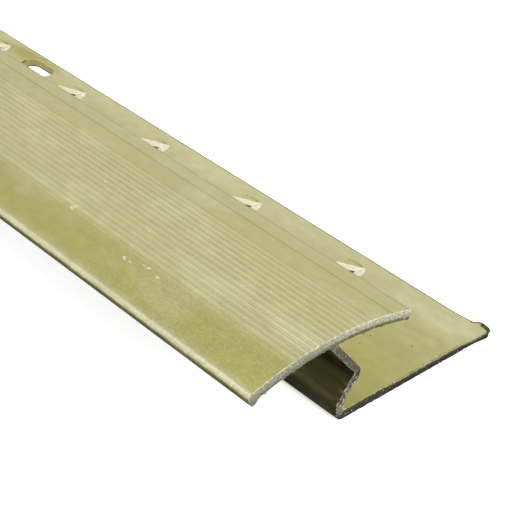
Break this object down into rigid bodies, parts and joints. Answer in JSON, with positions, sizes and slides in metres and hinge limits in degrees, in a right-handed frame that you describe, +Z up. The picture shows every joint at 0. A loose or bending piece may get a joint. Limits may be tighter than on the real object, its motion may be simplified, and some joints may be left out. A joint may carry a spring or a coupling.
{
  "type": "door bar",
  "caption": "Two-level aluminium threshold strip: fluted arched cover on a kinked web over a flat base plate with punched carpet teeth and fixing slots.",
  "frame": {"origin": "centre of the bar's length and of its overall width, on the underside of the base plate", "axes": "+X along the bar, +Y across it from the hard-floor lip toward the free edge of the base plate, +Z up"},
  "size_m": [0.9, 0.047, 0.0154],
  "materials": {
    "gold_aluminium": "satin gold anodised, sawn ends bare"
  },
  "bodies": {
    "root": {"door_bar": "gold_aluminium"}
  },
  "joints": []
}
